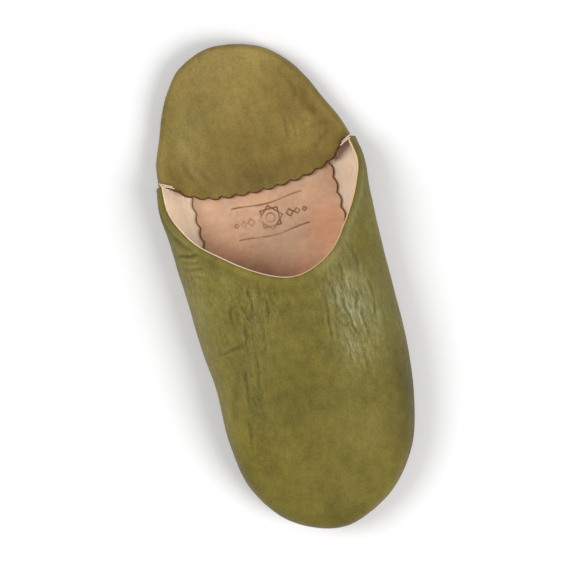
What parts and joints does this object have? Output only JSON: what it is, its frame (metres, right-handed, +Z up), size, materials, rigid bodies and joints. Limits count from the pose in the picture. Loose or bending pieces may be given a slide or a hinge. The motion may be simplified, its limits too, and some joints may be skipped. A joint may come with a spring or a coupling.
{
  "type": "babouche slipper",
  "caption": "Round-toed slip-on leather babouche with a soft vamp, open collar, flat sole and a heel quarter trodden down flat with a scalloped front edge.",
  "frame": {"origin": "on the floor under the centre of the slipper's plan outline", "axes": "-Y towards the toe, +Y towards the heel, +X towards the medial side, -X towards the lateral side, +Z up"},
  "size_m": [0.1113, 0.2619, 0.0468],
  "materials": {
    "upper_leather": "waxed olive leather, mottled, satin",
    "lining_leather": "natural undyed leather, matt",
    "sock_leather": "natural tan leather, satin, pinked edge",
    "sole_leather": "plain tan sole leather, matt"
  },
  "bodies": {
    "root": {"outsole": "sole_leather", "insole": "lining_leather", "sock": "sock_leather", "upper": "upper_leather", "heel_quarter": "upper_leather"}
  },
  "joints": []
}
